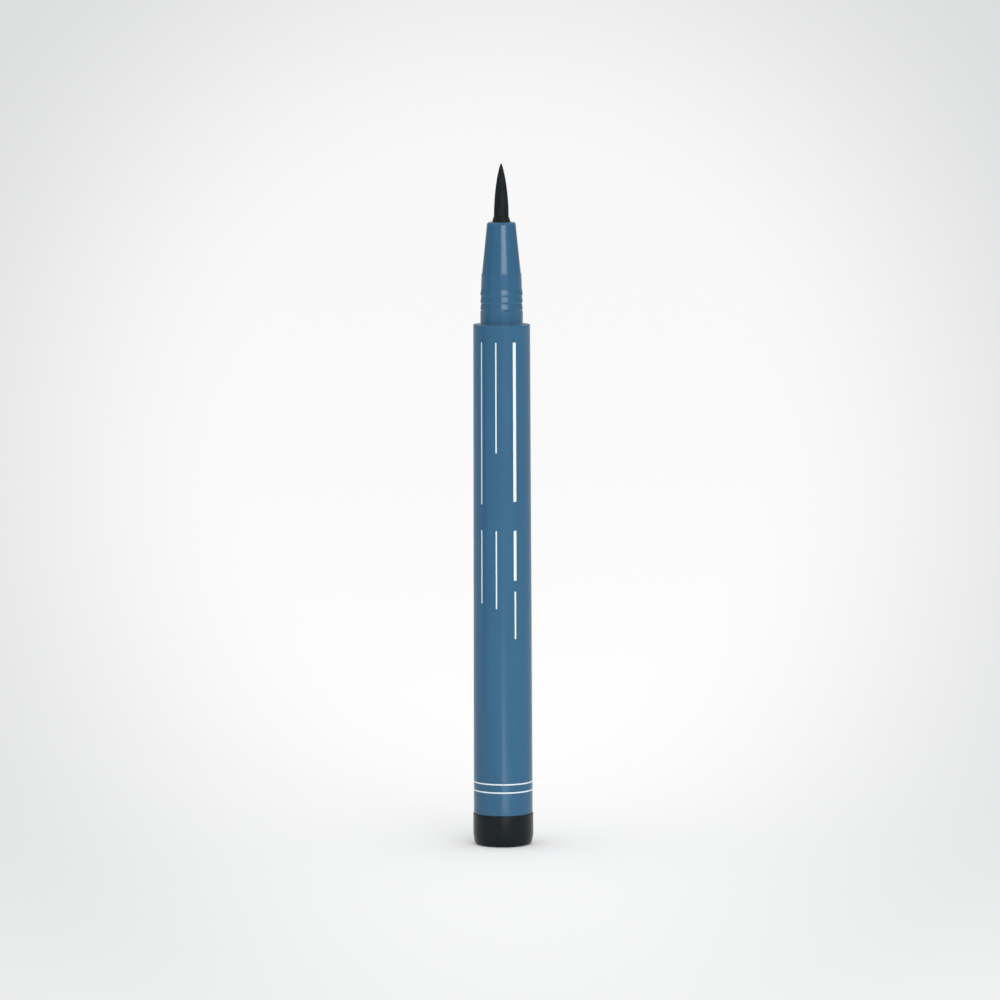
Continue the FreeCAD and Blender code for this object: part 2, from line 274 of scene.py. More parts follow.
class TailPlugSettings(bpy.types.PropertyGroup):
    """Sizes and colour of the tail plug."""

    base_edge: length_property("Base edge", "Rounding of the edge that the pen stands on", 0.7 * MM)
    foot_height: length_property("Foot", "Height of the foot, which draws in to the base", 1.8 * MM)
    foot_inset: length_property("Foot inset", "How far the foot draws in", 0.3 * MM)
    foot_edge: length_property("Foot edge", "Rounding between the foot and the side", 3.0 * MM)
    seam_edge: length_property("Seam edge", "Rounding of the edge at the barrel", 0.18 * MM)
    dimple_radius: length_property("Gate dimple radius", "Radius of the dimple in the flat end", 0.9 * MM)
    dimple_depth: length_property("Gate dimple depth", "Depth of the gate's dimple", 0.25 * MM)
    snap_rise: length_property("Snap rib rise", "How far the snap rib stands out of the spigot", 0.24 * MM)
    ribs_place: length_property("Ribs", "Height of the ribs' middle above the seam", 5.525 * MM)
    cup_wall: length_property("Cup wall", "Wall of the cup where the balls rest", 0.88 * MM)
    floor: length_property("Floor", "Height of the cup's floor above the tail", 1.6 * MM)
    colour: colour_property("Plastic", "Colour of the black mouldings", screen_colour(12, 21, 26))
    roughness: factor_property("Roughness", "Roughness of the plug's plastic", 0.24)
    shine: factor_property("Shine", "Strength of the black plastic's reflections", 0.2)


class NoseSettings(bpy.types.PropertyGroup):
    """Sizes of the nose."""

    base_length: length_property("Base", "Length of the base that carries the cap", 6.3 * MM)
    neck_length: length_property("Neck", "Length of the neck", 2.8 * MM)
    neck_draft: length_property("Neck draft", "How much the neck draws in along its length", 0.1 * MM)
    cone_step: length_property("Cone step", "How far the cone's foot is set back from the neck", 0.09 * MM)
    mouth_wall: length_property("Mouth wall", "Wall of the cone at its mouth", 0.69 * MM)
    wall: length_property("Wall", "Wall of the neck", 1.0 * MM)
    rim_edge: length_property("Rim edge", "Rounding of the mouth's outer edge", 0.47 * MM)
    foot_edge: length_property("Foot edge", "Fillet between the base and the flange", 0.2 * MM)
    beads: IntProperty(name="Beads", description="Number of snap beads for the cap", default=3, min=1)
    bead_pitch: length_property("Bead pitch", "Distance from bead to bead", 1.28 * MM)
    bead_rise: length_property("Bead rise", "Height of a bead over its valley", 0.14 * MM)
    bead_hold: length_property("Bead hold", "Length of the bead's steep flank, which holds the cap", 0.3 * MM)
    bead_crest: length_property("Bead crest", "Rounding of a bead's crest", 0.4 * MM)
    passage: length_property("Passage", "Length of the narrow passage behind the holder", 3.5 * MM)
    passage_gap: length_property("Passage gap", "Gap round the tip in the passage", 0.175 * MM)
    ribs_place: length_property("Ribs", "Height of the ribs' middle above the spigot's rear", 4.5 * MM)
    roughness: factor_property("Roughness", "Roughness of the nose's plastic", 0.18)


class TipSettings(bpy.types.PropertyGroup):
    """Sizes and colour of the felt tip and its holder."""

    fit_gap: length_property("Fit", "Gap between the holder and what it fits", 0.02 * MM)
    lip_step: length_property("Lip step", "How far the holder's lip is set back at the mouth", 0.15 * MM)
    lip_edge: length_property("Lip edge", "Width of the lip's edge round the tip", 0.06 * MM)
    flutes: IntProperty(name="Flutes", description="Number of air flutes along the holder", default=4, min=1)
    flute_width: length_property("Flute width", "Width of an air flute", 0.5 * MM)
    flute_depth: length_property("Flute depth", "Depth of an air flute", 0.2 * MM)
    socket_radius: length_property("Socket radius", "Radius of the socket that takes the wick", 0.65 * MM)
    socket_depth: length_property("Socket depth", "Depth of the socket that takes the wick", 4.0 * MM)
    sleeve_roughness: factor_property("Sleeve roughness", "Roughness of the holder's plastic", 0.3)
    point_draw: number_property("Draw", "Power of the height that draws the tip in", 1.8)
    point_power: number_property("Fullness", "Power that rounds the point", 0.72)
    fibre_rise: length_property("Fibre rise", "How far single fibres stand out of the felt", 0.007 * MM)
    colour: colour_property("Felt", "Colour of the inked felt", screen_colour(16, 23, 27))


class InnerSettings(bpy.types.PropertyGroup):
    """Colours of the pieces inside."""

    collector: colour_property("Collector", "Colour of the uncoloured plastic", screen_colour(228, 228, 224))
    wick: colour_property("Wick", "Colour of the inked wick", screen_colour(63, 63, 66))
    steel: colour_property("Steel", "Colour of the balls' steel", screen_colour(205, 206, 208))


class StageSettings(bpy.types.PropertyGroup):
    """Camera, floor and light of the studio."""

    elevation: angle_property("Elevation", "How far the camera looks down", 5.8)
    roll: angle_property("Roll", "Turn of the camera about its line of sight", -0.195)
    distance: length_property("Distance", "Distance from the camera to its aim", 0.9985)
    aim: place_property("Aim", "Place that the camera looks at", (-0.4 * MM, 0.0, 62.38 * MM))
    lens: FloatProperty(name="Lens", description="Focal length", default=200.0, unit="CAMERA")
    floor_radius: length_property("Floor radius", "Radius of the floor", 15.0)
    floor_drop: length_property("Floor drop", "How far the floor lies under the tail", 0.02 * MM)
    # The floor's colour holds a painted pool of light by the pen and painted shade further out.
    floor_painted_pool: colour_property("Middle", "Colour of the floor by the pen", screen_colour(254, 254, 254))
    floor_painted_shade: colour_property("Rim", "Colour of the floor further out", screen_colour(226, 227, 227))
    horizon: colour_property("Horizon", "Light of the surroundings at the floor's level", (0.25, 0.25, 0.25))
    zenith: colour_property("Zenith", "Light of the surroundings overhead", (1.0, 1.0, 1.0))
    dome: number_property("Dome", "Strength of the surroundings", 1.265)
    rings_rise: number_property("Rings rise", "Rise of the rings' middle over the aim, in half views", 0.14)
    rings_start: number_property("Rings start", "Where the floor's shade starts to fall, in half views", 0.5)
    rings_end: number_property("Rings end", "Where the floor's shade stops falling, in half views", 1.35)
    key: power_property("Key", "Power of the soft lamp on the right", 0.6)
    key_place: place_property("Key place", "Place of the soft lamp on the right", (0.75, -0.75, 0.6))
    key_size: size_property("Key size", "Width and height of the soft lamp on the right", (0.6, 0.8))
    front: power_property("Front", "Power of the small lamp that the cone and the beads mirror", 1.1)
    front_place: place_property("Front place", "Place of the small lamp", (0.165, -0.575, 0.21))
    front_size: size_property("Front size", "Width and height of the small lamp", (0.36, 0.1))
    low: power_property("Low", "Power of the narrow lamp on the floor that the tail mirrors", 0.05)
    low_place: place_property("Low place", "Place of the narrow lamp that shines up", (0.007, -0.13, 0.0015))
    low_size: size_property("Low size", "Width and depth of the narrow lamp", (0.02, 0.2))
    card: colour_property("Card", "Colour of the dark card that the pen's left mirrors", (0.02, 0.02, 0.02))
    card_place: place_property("Card place", "Middle of the dark card's foot", (-0.24, -0.056, 0.0))
    card_size: size_property("Card size", "Width and height of the dark card", (0.09, 0.2))


class PenSettings(bpy.types.PropertyGroup):
    """All settings of the pen and its studio."""

    barrel: PointerProperty(type=BarrelSettings)
    tail_plug: PointerProperty(type=TailPlugSettings)
    nose: PointerProperty(type=NoseSettings)
    tip: PointerProperty(type=TipSettings)
    inner: PointerProperty(type=InnerSettings)
    stage: PointerProperty(type=StageSettings)


def shared_radii(pen):
    """Radii that two pieces share, worked out from the frame and the settings."""
    front = REAR_RADIUS - pen.barrel.taper / 2
    bore = front - pen.barrel.wall
    return SimpleNamespace(
        front=front,
        bore=bore,
        spigot=bore - pen.barrel.spigot_gap,
        recess=front - pen.barrel.rim,
        holder_bore=TIP_RADIUS + pen.tip.fit_gap,
        mouth_bore=HOLDER_RADIUS + pen.tip.fit_gap,
    )


def rounded(corners):
    """Section through corners (radius, height, rounding), with a tangent arc at each corner.

    The arc's centre lies on the bisector of the corner's sides, at the rounding over the sine of the half
    angle. The arc runs in equal turns from its foot on one side to its foot on the other.
    """
    corners = np.array(corners)
    points = corners[:, :2]
    rounding = corners[:, 2:]
    back = np.roll(points, 1, axis=0) - points
    ahead = np.roll(points, -1, axis=0) - points
    back /= np.linalg.norm(back, axis=1, keepdims=True)
    ahead /= np.linalg.norm(ahead, axis=1, keepdims=True)
    half = np.arccos(np.clip((back * ahead).sum(1, keepdims=True), -1, 1)) / 2
    bisector = back + ahead
    bisector /= np.maximum(np.linalg.norm(bisector, axis=1, keepdims=True), TINY)
    centre = points + bisector * rounding / np.sin(half)
    first = points + back * rounding / np.tan(half) - centre
    last = points + ahead * rounding / np.tan(half) - centre
    start = np.arctan2(first[:, 1], first[:, 0])[:, None]
    turn = np.arctan2(last[:, 1], last[:, 0])[:, None] - start
    turn = (turn + math.pi) % FULL_TURN - math.pi
    angle = start + turn * np.linspace(0, 1, ARC_STEPS + 1)
    arcs = centre[:, None] + rounding[:, None] * np.stack((np.cos(angle), np.sin(angle)), axis=2)
    return without_doubles(arcs.reshape(-1, 2))


def without_doubles(section):
    """Section without points that lie on the point before them."""
    step = np.linalg.norm(section - np.roll(section, 1, axis=0), axis=1)
    step[0] = np.inf
    return section[step > SAME_PLACE]


def supported(section, closed):
    """Section with points added on its straight stretches, so that smooth shading stays even on them.

    A stretch longer than three supports gets a point one support from both ends, and points between those
    that are no further apart than the longest stretch.
    """
    starts = section if closed else section[:-1]
    ends = np.roll(section, -1, axis=0) if closed else section[1:]
    steps = ends - starts
    length = np.linalg.norm(steps, axis=1)
    added = np.where(length > 3 * SUPPORT, 2 + (length / LONGEST_STRETCH).astype(int), 0)
    stretch = np.repeat(np.arange(len(length)), added + 1)
    order = np.arange(len(stretch)) - np.repeat(np.cumsum(added + 1) - added - 1, added + 1)
    spacing = (length - 2 * SUPPORT) / np.maximum(added - 1, 1)
    along = np.where(order > 0, SUPPORT + (order - 1) * spacing[stretch], 0.0)
    points = starts[stretch] + steps[stretch] * (along / length[stretch])[:, None]
    return points if closed else np.concatenate((points, section[-1:]))


def edge_wear(section, closed):
    """Share of wear at each point: the outward turn of the section per length, over that of a worn edge."""
    ahead = np.roll(section, -1, axis=0) - section
    back = section - np.roll(section, 1, axis=0)
    cross = back[:, 0] * ahead[:, 1] - back[:, 1] * ahead[:, 0]
    turn = np.arctan2(cross, (back * ahead).sum(1))
    reach = (np.linalg.norm(ahead, axis=1) + np.linalg.norm(back, axis=1)) / 2
    wear = np.clip(turn / np.maximum(reach, TINY) * WORN_RADIUS, 0, 1)
    if not closed:
        wear[[0, -1]] = 0
    return wear


def map_heights(section, closed):
    """Height of each point in the map: the length of the section up to it, as a share of the whole.

    A stretch that doesn't rise counts with its hidden share.
    """
    step = np.diff(section, axis=0, append=section[:1])
    width = np.linalg.norm(step, axis=1) * np.where(step[:, 1] > 0, 1.0, HIDDEN_SHARE)
    across = np.concatenate(([0.0], np.cumsum(width if closed else width[:-1])))
    return across / across[-1]


def turned_mesh(name, section, segments=SEGMENTS, closed=True, relief=0.0):
    """Mesh of a section turned about Z: x = r cos a, y = r sin a, z = h, with r = radius + relief.

    The section runs with the material on its left. A closed one joins end to start, and an open one starts
    and ends on the axis, where one vertex closes each pole. The map goes once round in its width and along the
    section in its height, and the edge attribute holds the wear.
    """
    rings = len(section)
    angle = np.arange(segments) / segments * FULL_TURN
    radius = section[:, 0] + np.broadcast_to(relief, (segments, rings))
    points = np.stack((
        radius * np.cos(angle)[:, None],
        radius * np.sin(angle)[:, None],
        np.broadcast_to(section[:, 1], (segments, rings)),
    ), axis=2)
    across = map_heights(section, closed)
    wear = np.broadcast_to(edge_wear(section, closed), (segments, rings))
    kept = slice(None) if closed else slice(1, -1)
    inner = rings if closed else rings - 2
    i, j = np.meshgrid(np.arange(segments), np.arange(inner if closed else inner - 1), indexing="ij")
    i, j = i.ravel(), j.ravel()
    here, beside, above = i * inner, (i + 1) % segments * inner, (j + 1) % inner
    quads = np.stack((here + j, beside + j, beside + above, here + above), axis=1)
    low, high = across[kept][j], across[1:][j] if closed else across[2:][j]
    quad_map = np.stack((i, low, i + 1, low, i + 1, high, i, high), axis=1).reshape(-1, 2)
    vertices = points[:, kept].reshape(-1, 3)
    wear_values = wear[:, kept].ravel()
    faces = quads.tolist()
    face_map = [quad_map]
    if not closed:
        i = np.arange(segments)
        here, beside, pole = i * inner, (i + 1) % segments * inner, np.full(segments, len(vertices))
        bottom = np.stack((pole, beside, here), axis=1)
        top = np.stack((here + inner - 1, beside + inner - 1, pole + 1), axis=1)
        vertices = np.concatenate((vertices, points[:1, 0], points[:1, -1]))
        wear_values = np.concatenate((wear_values, [0.0, 0.0]))
        faces += bottom.tolist() + top.tolist()
        first, last = across[1] + 0 * i, across[-2] + 0 * i
        face_map.append(np.stack((i + 0.5, 0 * i, i + 1, first, i, first), axis=1).reshape(-1, 2))
        face_map.append(np.stack((i, last, i + 1, last, i + 0.5, 0 * i + 1), axis=1).reshape(-1, 2))
    mesh = bpy.data.meshes.new(name)
    mesh.from_pydata(vertices.tolist(), [], faces)
    uv = np.concatenate(face_map) / (segments, 1)
    mesh.uv_layers.new(name="OFBake").uv.foreach_set("vector", uv.astype(np.float32).ravel())
    mesh.attributes.new("edge", "FLOAT", "POINT").data.foreach_set("value", wear_values.astype(np.float32))
    mesh.shade_smooth()
    return mesh


def add_piece(mesh, node, material):
    """Object of a mesh that stands for a node of the frame and rides on the pen."""
    old = bpy.data.objects.get(mesh.name)
    if old:
        bpy.data.objects.remove(old)
    piece = bpy.data.objects.new(mesh.name, mesh)
    bpy.context.scene.collection.objects.link(piece)
    mesh.materials.append(material)
    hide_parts(node)
    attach(piece, BODY)


class Finish:
    """Node tree of a material or a world, with short ways to add the nodes that its pattern needs."""

    def __init__(self, name, kind=bpy.data.materials, shader="Principled BSDF", place="Object"):
        old = kind.get(name)
        if old:
            kind.remove(old)
        self.material = kind.new(name)
        self.material.use_nodes = True
        self.tree = self.material.node_tree
        self.shader = self.tree.nodes[shader]
        self.place = self.add("TexCoord").outputs[place]

    def give(self, socket, value):
        """Value at a socket, or a link to it."""
        if isinstance(value, bpy.types.NodeSocket):
            self.tree.links.new(value, socket)
        else:
            socket.default_value = value

    def add(self, kind, inputs=None, **settings):
        """New node with settings, and with a value or a link at each input that is named."""
        node = self.tree.nodes.new("ShaderNode" + kind)
        for key, value in settings.items():
            setattr(node, key, value)
        for key, value in (inputs or {}).items():
            self.give(node.inputs[key], value)
        return node

    def set(self, **values):
        """Values or links at the shader's own inputs, named with _ for a space."""
        for key, value in values.items():
            self.give(self.shader.inputs[key.replace("_", " ")], value)

    def maths(self, operation, *values):
        """Result of a sum on values or links."""
        node = self.add("Math", dict(enumerate(values)), operation=operation)
        return node.outputs["Value"]

    def blend(self, first, second, weight):
        """Sum of two values, the first with this weight and the second with the rest."""
        return self.maths("MULTIPLY_ADD", first, weight, self.maths("MULTIPLY", second, 1 - weight))

    def noise(self, size, detail=2.0, distortion=0.0):
        """Soft noise whose grains have this size in metres along X, Y and Z."""
        scale = tuple(1 / side for side in size)
        place = self.add("Mapping", {"Vector": self.place, "Scale": scale}).outputs["Vector"]
        inputs = {"Vector": place, "Scale": 1.0, "Detail": detail, "Distortion": distortion}
        return self.add("TexNoise", inputs).outputs["Fac"]

    def span(self, value, from_low, from_high, low, high):
        """Value mapped from one span to another, and held at its ends."""
        inputs = {"Value": value, "From Min": from_low, "From Max": from_high, "To Min": low, "To Max": high}
        return self.add("MapRange", inputs).outputs["Result"]

    def share(self, value, low, high):
        """Value as a share of the way from low to high, held at 0 and 1."""
        return self.span(value, low, high, 0.0, 1.0)

    def mix(self, share, first, second):
        """Colour that goes from the first to the second as the share goes from 0 to 1."""
        node = self.add("Mix", data_type="RGBA")
        for index, value in zip(MIX_INPUTS, (share, first, second)):
            self.give(node.inputs[index], value)
        return node.outputs[MIX_RESULT]

    def tones(self, share, colour, start, end):
        """Colour whose lightness goes from the start's factor to the end's as the share goes from 0 to 1."""
        return self.mix(share, shade(colour, start), shade(colour, end))

    def bump(self, height, relief, below=None):
        """Normal of a relief, on top of another one if it is given."""
        depth, strength = relief
        inputs = {"Height": height, "Distance": depth, "Strength": strength}
        if below:
            inputs["Normal"] = below
        return self.add("Bump", inputs).outputs["Normal"]

    def edge(self):
        """Wear along the moulding's edges, broken up by noise."""
        worn = self.add("Attribute", attribute_name="edge").outputs["Fac"]
        return self.maths("MULTIPLY", worn, self.share(self.noise(EDGE_CHIPS), *CHIPPED_NOISE))


def shade(colour, factor):
    """Opaque colour, this much lighter or darker."""
    return (*(min(value * factor, 1.0) for value in colour), 1.0)


def moulded_plastic(name, colour, roughness, shine, print_mask=None, ink=None):
    """Glossy moulded plastic: flow streaks along the pen, a fine skin, hairline scuffs and worn edges."""
    finish = Finish(name)
    streaks = finish.noise(STREAKS, detail=3.0)
    clouds = finish.noise(CLOUDS)
    skin = finish.noise(SKIN)
    scuffs = finish.share(finish.noise(SCUFFS, detail=0.0), *SCUFFED_NOISE)
    tone = finish.share(finish.blend(streaks, clouds, weight=0.45), *NOISE_WIDE)
    paint = finish.tones(tone, colour, start=0.85, end=1.15)
    wear = finish.maths("MULTIPLY", finish.edge(), WORN_COVER)
    paint = finish.mix(wear, paint, shade(colour, WORN_TONE))
    gloss = finish.span(clouds, *NOISE_WIDE, roughness - ROUGHNESS_SPREAD, roughness + ROUGHNESS_SPREAD)
    gloss = finish.maths("MULTIPLY_ADD", scuffs, SCUFF_ROUGHNESS, gloss)
    relief = finish.bump(streaks, STREAK_RELIEF)
    relief = finish.bump(skin, SKIN_RELIEF, relief)
    if print_mask:
        mask = print_mask(finish)
        cover = finish.span(skin, *POROUS_NOISE, THIN_INK, 1.0)
        paint = finish.mix(finish.maths("MULTIPLY", mask, cover), paint, shade(ink, 1.0))
        gloss = finish.maths("MULTIPLY_ADD", mask, INK_ROUGHNESS, gloss)
        relief = finish.bump(mask, PRINT_RELIEF, relief)
    finish.set(Base_Color=paint, Roughness=gloss, Normal=relief, Specular_IOR_Level=shine)
    return finish.material


def printed_strokes(barrel, radius):
    """Mask of the barrel's print: straight strokes along the barrel, and two rings near the tail.

    A stroke covers the places that lie within half its width round the barrel from its own angle, and within
    half its length from its middle. A ring covers the heights within half its width.
    """
    def mask(finish):
        axes = finish.add("SeparateXYZ", {"Vector": finish.place}).outputs
        ragged = finish.span(finish.noise(PRINT_RAGS), 0.0, 1.0, -RAGGED, RAGGED)
        angle = finish.maths("ARCTAN2", axes["X"], finish.maths("MULTIPLY", axes["Y"], -1.0))
        around = finish.maths("MULTIPLY_ADD", angle, radius, ragged)
        height = finish.maths("ADD", axes["Z"], ragged)
        covered = 0.0
        for degrees, low_share, high_share, width_share in PRINT_STROKES_SHARES:
            place = math.radians(degrees) * radius
            middle = TAIL_TOP + (SHOULDER - TAIL_TOP) * (low_share + high_share) / 2
            reach = (SHOULDER - TAIL_TOP) * (high_share - low_share) / 2
            aside = finish.maths("COMPARE", around, place, barrel.stroke * width_share / 2)
            along = finish.maths("COMPARE", height, middle, reach)
            covered = finish.maths("MULTIPLY_ADD", aside, along, covered)
        for side in (-0.5, 0.5):
            middle = TAIL_TOP + barrel.rings_place + side * barrel.rings_pitch
            ring = finish.maths("COMPARE", height, middle, barrel.ring_stroke / 2)
            covered = finish.maths("ADD", ring, covered)
        return covered

    return mask


def inked_felt(colour):
    """Felt soaked with ink: fibres along the tip, matted between them and wet in places."""
    finish = Finish("inked_felt")
    fibres = finish.noise(FELT_FIBRES, detail=3.0, distortion=0.4)
    paint = finish.tones(finish.share(fibres, *NOISE_MIDDLE), colour, start=0.6, end=1.7)
    gloss = finish.span(finish.noise(FELT_WET), *NOISE_CORE, *FELT_ROUGHNESS)
    relief = finish.bump(fibres, FELT_RELIEF)
    finish.set(Base_Color=paint, Roughness=gloss, Normal=relief, Specular_IOR_Level=FELT_SHINE)
    return finish.material


def wick_fibre(colour):
    """Bonded fibre rod: straight fibres along the rod, stained by ink."""
    finish = Finish("wick_fibre")
    fibres = finish.noise(WICK_FIBRES)
    tone = finish.share(finish.blend(fibres, finish.noise(WICK_STAIN), weight=0.6), *NOISE_MIDDLE)
    paint = finish.tones(tone, colour, start=0.5, end=1.6)
    finish.set(Base_Color=paint, Roughness=WICK_ROUGHNESS, Normal=finish.bump(fibres, WICK_RELIEF))
    return finish.material


def natural_plastic(colour):
    """Uncoloured plastic: milky, with flow clouds and a fine dull skin."""
    finish = Finish("natural_plastic")
    clouds = finish.noise(MILKY_CLOUDS, detail=3.0)
    skin = finish.noise(DULL_SKIN)
    paint = finish.tones(finish.share(clouds, *NOISE_MIDDLE), colour, start=0.88, end=1.05)
    gloss = finish.span(skin, *NOISE_MIDDLE, *MILKY_ROUGHNESS)
    finish.set(Base_Color=paint, Roughness=gloss, Normal=finish.bump(skin, DULL_RELIEF))
    return finish.material


def ball_steel(colour):
    """Ground and polished steel: fine grinding marks in all directions and a trace of ink."""
    finish = Finish("ball_steel")
    marks = finish.noise(GRINDING, distortion=1.5)
    stain = finish.share(finish.noise(STEEL_STAIN, detail=3.0), *NOISE_UPPER)
    paint = finish.tones(stain, colour, start=1.0, end=0.55)
    gloss = finish.span(marks, *NOISE_MIDDLE, *STEEL_ROUGHNESS)
    finish.set(Base_Color=paint, Metallic=1.0, Roughness=gloss, Normal=finish.bump(marks, GRINDING_RELIEF))
    return finish.material


def rib(radius, height, rise):
    """Corners of a rib with sloping sides, eased at its crest."""
    return [
        (radius, height - rise, FINE_EDGE),
        (radius + rise, height, FINE_EDGE),
        (radius, height + rise, FINE_EDGE),
    ]


def sealing_ribs(radius, middle, rise):
    """Corners of two sealing ribs on a spigot, one each side of a height."""
    return [*rib(radius, middle - RIB_PITCH / 2, rise), *rib(radius, middle + RIB_PITCH / 2, rise)]


class EYELINER_OT_barrel(bpy.types.Operator):
    """Turn the printed barrel with its shoulder, tank, stop ring and snap groove"""

    bl_idname = "eyeliner.barrel"
    bl_label = "Barrel"

    def execute(self, context):
        pen = context.scene.eyeliner_pen
        barrel, radii = pen.barrel, shared_radii(pen)
        recess_floor = SHOULDER - barrel.recess
        ring_low = PLUG_TOP + barrel.tank
        ring_high = ring_low + barrel.ring_length
        ring_radius = radii.bore - barrel.ring_rise
        groove_radius = radii.bore + barrel.groove_depth
        groove_low = TAIL_TOP + barrel.snap_place - barrel.groove_width / 2
        groove_high = groove_low + barrel.groove_width
        section = rounded((
            (radii.bore + barrel.lead_in, TAIL_TOP, FINE_EDGE),
            (REAR_RADIUS, TAIL_TOP, barrel.seam_edge),
            (radii.front, SHOULDER, barrel.shoulder_edge),
            (radii.recess, SHOULDER, FINE_EDGE),
            (radii.recess, recess_floor, FINE_EDGE),
            (radii.bore, recess_floor, FINE_EDGE),
            (radii.bore, ring_high, FINE_EDGE),
            (ring_radius, ring_high, FINE_EDGE),
            (ring_radius, ring_low, FINE_EDGE),
            (radii.bore, ring_low, FINE_EDGE),
            (radii.bore, groove_high, FINE_EDGE),
            (groove_radius, groove_high, FINE_EDGE),
            (groove_radius, groove_low, FINE_EDGE),
            (radii.bore, groove_low, FINE_EDGE),
            (radii.bore, TAIL_TOP + barrel.lead_in, FINE_EDGE),
        ))
        mesh = turned_mesh("barrel_tube", supported(section, True))
        mask = printed_strokes(barrel, (radii.front + REAR_RADIUS) / 2)
        material = moulded_plastic(
            "printed_blue_plastic", barrel.colour, barrel.roughness, barrel.shine, mask, barrel.ink
        )
        add_piece(mesh, "barrel", material)
        return {"FINISHED"}


class EYELINER_OT_tail_plug(bpy.types.Operator):
    """Turn the black tail plug with its ribbed spigot and the cup of the balls"""

    bl_idname = "eyeliner.tail_plug"
    bl_label = "Tail Plug"

    def execute(self, context):
        pen = context.scene.eyeliner_pen
        plug, radii = pen.tail_plug, shared_radii(pen)
        rise = pen.barrel.spigot_gap - pen.tip.fit_gap
        cup_radius = radii.spigot - plug.cup_wall
        section = rounded((
            (0.0, plug.dimple_depth, 0.0),
            (plug.dimple_radius, plug.dimple_depth, 2 * FINE_EDGE),
            (plug.dimple_radius, 0.0, FINE_EDGE),
            (TAIL_RADIUS - plug.foot_inset, 0.0, plug.base_edge),
            (TAIL_RADIUS, plug.foot_height, plug.foot_edge),
            (TAIL_RADIUS, TAIL_TOP, plug.seam_edge),
            (radii.spigot, TAIL_TOP, FINE_EDGE),
            *rib(radii.spigot, TAIL_TOP + pen.barrel.snap_place, plug.snap_rise),
            *sealing_ribs(radii.spigot, TAIL_TOP + plug.ribs_place, rise),
            (radii.spigot, PLUG_TOP - SPIGOT_LEAD_IN, FINE_EDGE),
            (radii.spigot - SPIGOT_LEAD_IN, PLUG_TOP, FINE_EDGE),
            (cup_radius, PLUG_TOP, FINE_EDGE),
            (cup_radius, plug.floor, 2 * FINE_EDGE),
            (0.0, plug.floor, 0.0),
        ))
        mesh = turned_mesh("end_plug", supported(section, False), closed=False)
        material = moulded_plastic("black_plug_plastic", plug.colour, plug.roughness, plug.shine)
        add_piece(mesh, "tail_plug", material)
        return {"FINISHED"}


class EYELINER_OT_nose(bpy.types.Operator):
    """Turn the blue nose with its beaded base, neck, cone and ribbed spigot

    A bead rises from its valley by a short steep flank to a round crest, and falls by a long flank to the
    next one.
    """

    bl_idname = "eyeliner.nose"
    bl_label = "Nose"

    def execute(self, context):
        pen = context.scene.eyeliner_pen
        nose, radii = pen.nose, shared_radii(pen)
        step = SHOULDER + nose.base_length
        kink = step + nose.neck_length
        valley_radius = BASE_RADIUS - nose.bead_rise
        neck_radius = valley_radius - nose.neck_draft
        cone_radius = neck_radius - nose.cone_step
        chamber_radius = neck_radius - nose.wall
        mouth_radius = radii.mouth_bore + nose.mouth_wall
        passage_radius = TIP_RADIUS + nose.passage_gap
        passage_foot = HOLDER_SEAT - nose.passage
        funnel_foot = passage_foot - (chamber_radius - passage_radius)
        flange_rear = SHOULDER - pen.barrel.recess
        beads_low = step - nose.beads * nose.bead_pitch
        rise = pen.barrel.spigot_gap - pen.tip.fit_gap
        beads = []
        for low in beads_low + nose.bead_pitch * np.arange(nose.beads):
            beads.append((valley_radius, low, FINE_EDGE))
            beads.append((BASE_RADIUS, low + nose.bead_hold, nose.bead_crest))
        section = rounded((
            (chamber_radius, SPIGOT_REAR, FINE_EDGE),
            (radii.spigot - SPIGOT_LEAD_IN, SPIGOT_REAR, FINE_EDGE),
            (radii.spigot, SPIGOT_REAR + SPIGOT_LEAD_IN, FINE_EDGE),
            *sealing_ribs(radii.spigot, SPIGOT_REAR + nose.ribs_place, rise),
            (radii.spigot, flange_rear, FINE_EDGE),
            (FLANGE_RADIUS, flange_rear, FINE_EDGE),
            (FLANGE_RADIUS, SHOULDER, FINE_EDGE),
            (BASE_RADIUS, SHOULDER, nose.foot_edge),
            (BASE_RADIUS, beads_low - nose.bead_rise, FINE_EDGE),
            *beads,
            (valley_radius, step, FINE_EDGE),
            (neck_radius, kink, FINE_EDGE),
            (cone_radius, kink, FINE_EDGE),
            (mouth_radius, MOUTH, nose.rim_edge),
            (radii.mouth_bore, MOUTH, FINE_EDGE),
            (radii.mouth_bore, HOLDER_SEAT, FINE_EDGE),
            (passage_radius, HOLDER_SEAT, FINE_EDGE),
            (passage_radius, passage_foot, FINE_EDGE),
            (chamber_radius, funnel_foot, FINE_EDGE),
        ))
        mesh = turned_mesh("nose_moulding", supported(section, True))
        material = moulded_plastic("blue_plastic", pen.barrel.colour, nose.roughness, pen.barrel.shine)
        add_piece(mesh, "nose", material)
        return {"FINISHED"}


